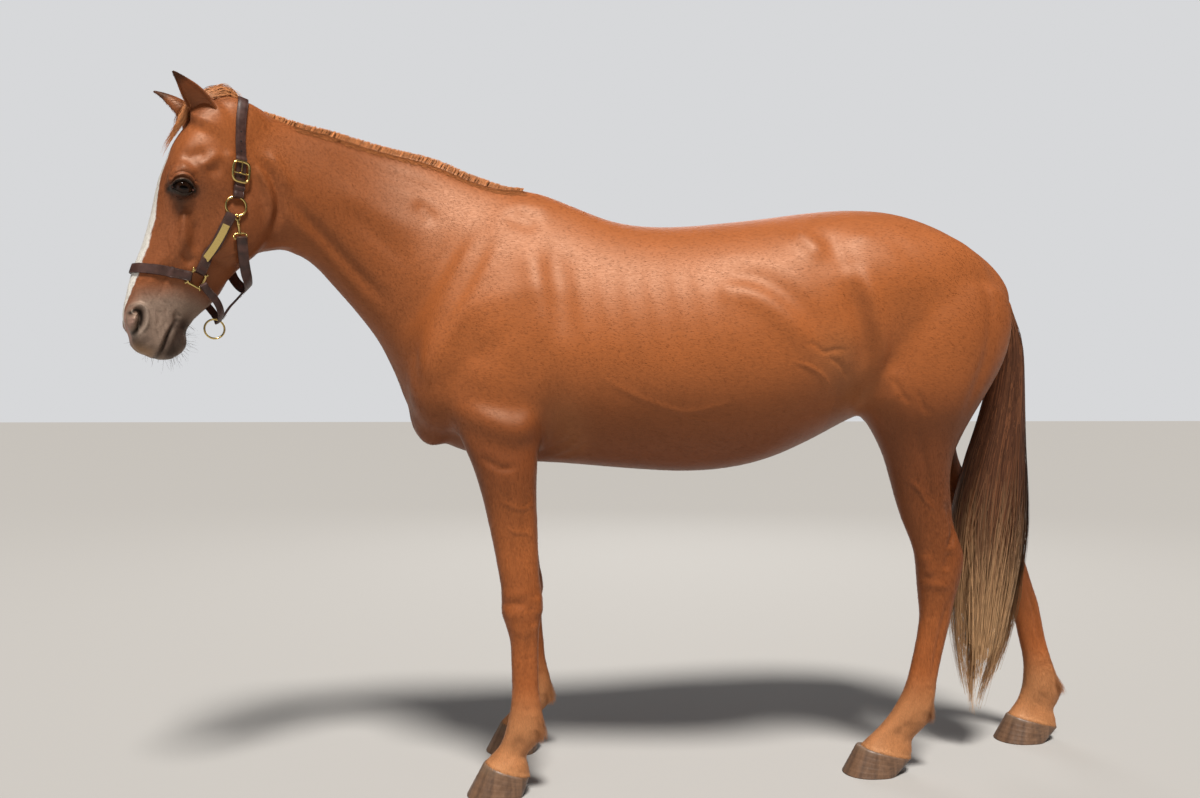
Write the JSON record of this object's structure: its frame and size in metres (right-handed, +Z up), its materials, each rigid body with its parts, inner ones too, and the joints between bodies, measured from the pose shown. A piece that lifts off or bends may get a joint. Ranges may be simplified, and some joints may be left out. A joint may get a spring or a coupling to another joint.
{
  "type": "horse",
  "caption": "Life-size still model of a chestnut saddle horse standing square in front with the right hind foot set back, head turned to its left, wearing a leather and brass halter.",
  "frame": {"origin": "on the floor, under the middle of the model's bounding box", "axes": "+Z up; the horse faces -X, so +X runs from chest to tail; its left side, the one the camera sees, is -Y"},
  "size_m": [2.5583, 0.6173, 1.7687],
  "materials": {
    "coat": "short glossy hair, orange-brown chestnut with a white blaze and pale pasterns",
    "horn": "grey-brown hoof horn with growth rings, satin",
    "eye": "wet dark brown eye, glossy",
    "tail_hair": "long hair, dark brown above and flaxen below",
    "mane_hair": "long tan hair",
    "leather": "dark havana brown halter leather, worn satin",
    "brass": "polished and a little worn"
  },
  "bodies": {
    "root": {"head": "coat", "neck": "coat", "trunk": "coat", "foreleg_left": "coat", "foreleg_right": "coat", "hindleg_left": "coat", "hindleg_right": "coat", "ear_left": "coat", "ear_right": "coat", "hoof_fore_left": "horn", "hoof_fore_right": "horn", "hoof_hind_left": "horn", "hoof_hind_right": "horn", "eye_left": "eye", "eye_right": "eye", "tail": "tail_hair", "mane": "mane_hair", "forelock": "mane_hair", "halter_crown_strap": "leather", "halter_noseband": "leather", "halter_throat_strap": "leather", "halter_jaw_strap": "leather", "halter_cheek_strap_left": "leather", "halter_cheek_strap_right": "leather", "halter_chin_strap_left": "leather", "halter_chin_strap_right": "leather", "halter_ring_left": "brass", "halter_ring_right": "brass", "halter_square_left": "brass", "halter_square_right": "brass", "halter_buckle": "brass", "halter_nameplate": "brass", "halter_lead_ring": "brass", "halter_snap": "brass"}
  },
  "joints": []
}
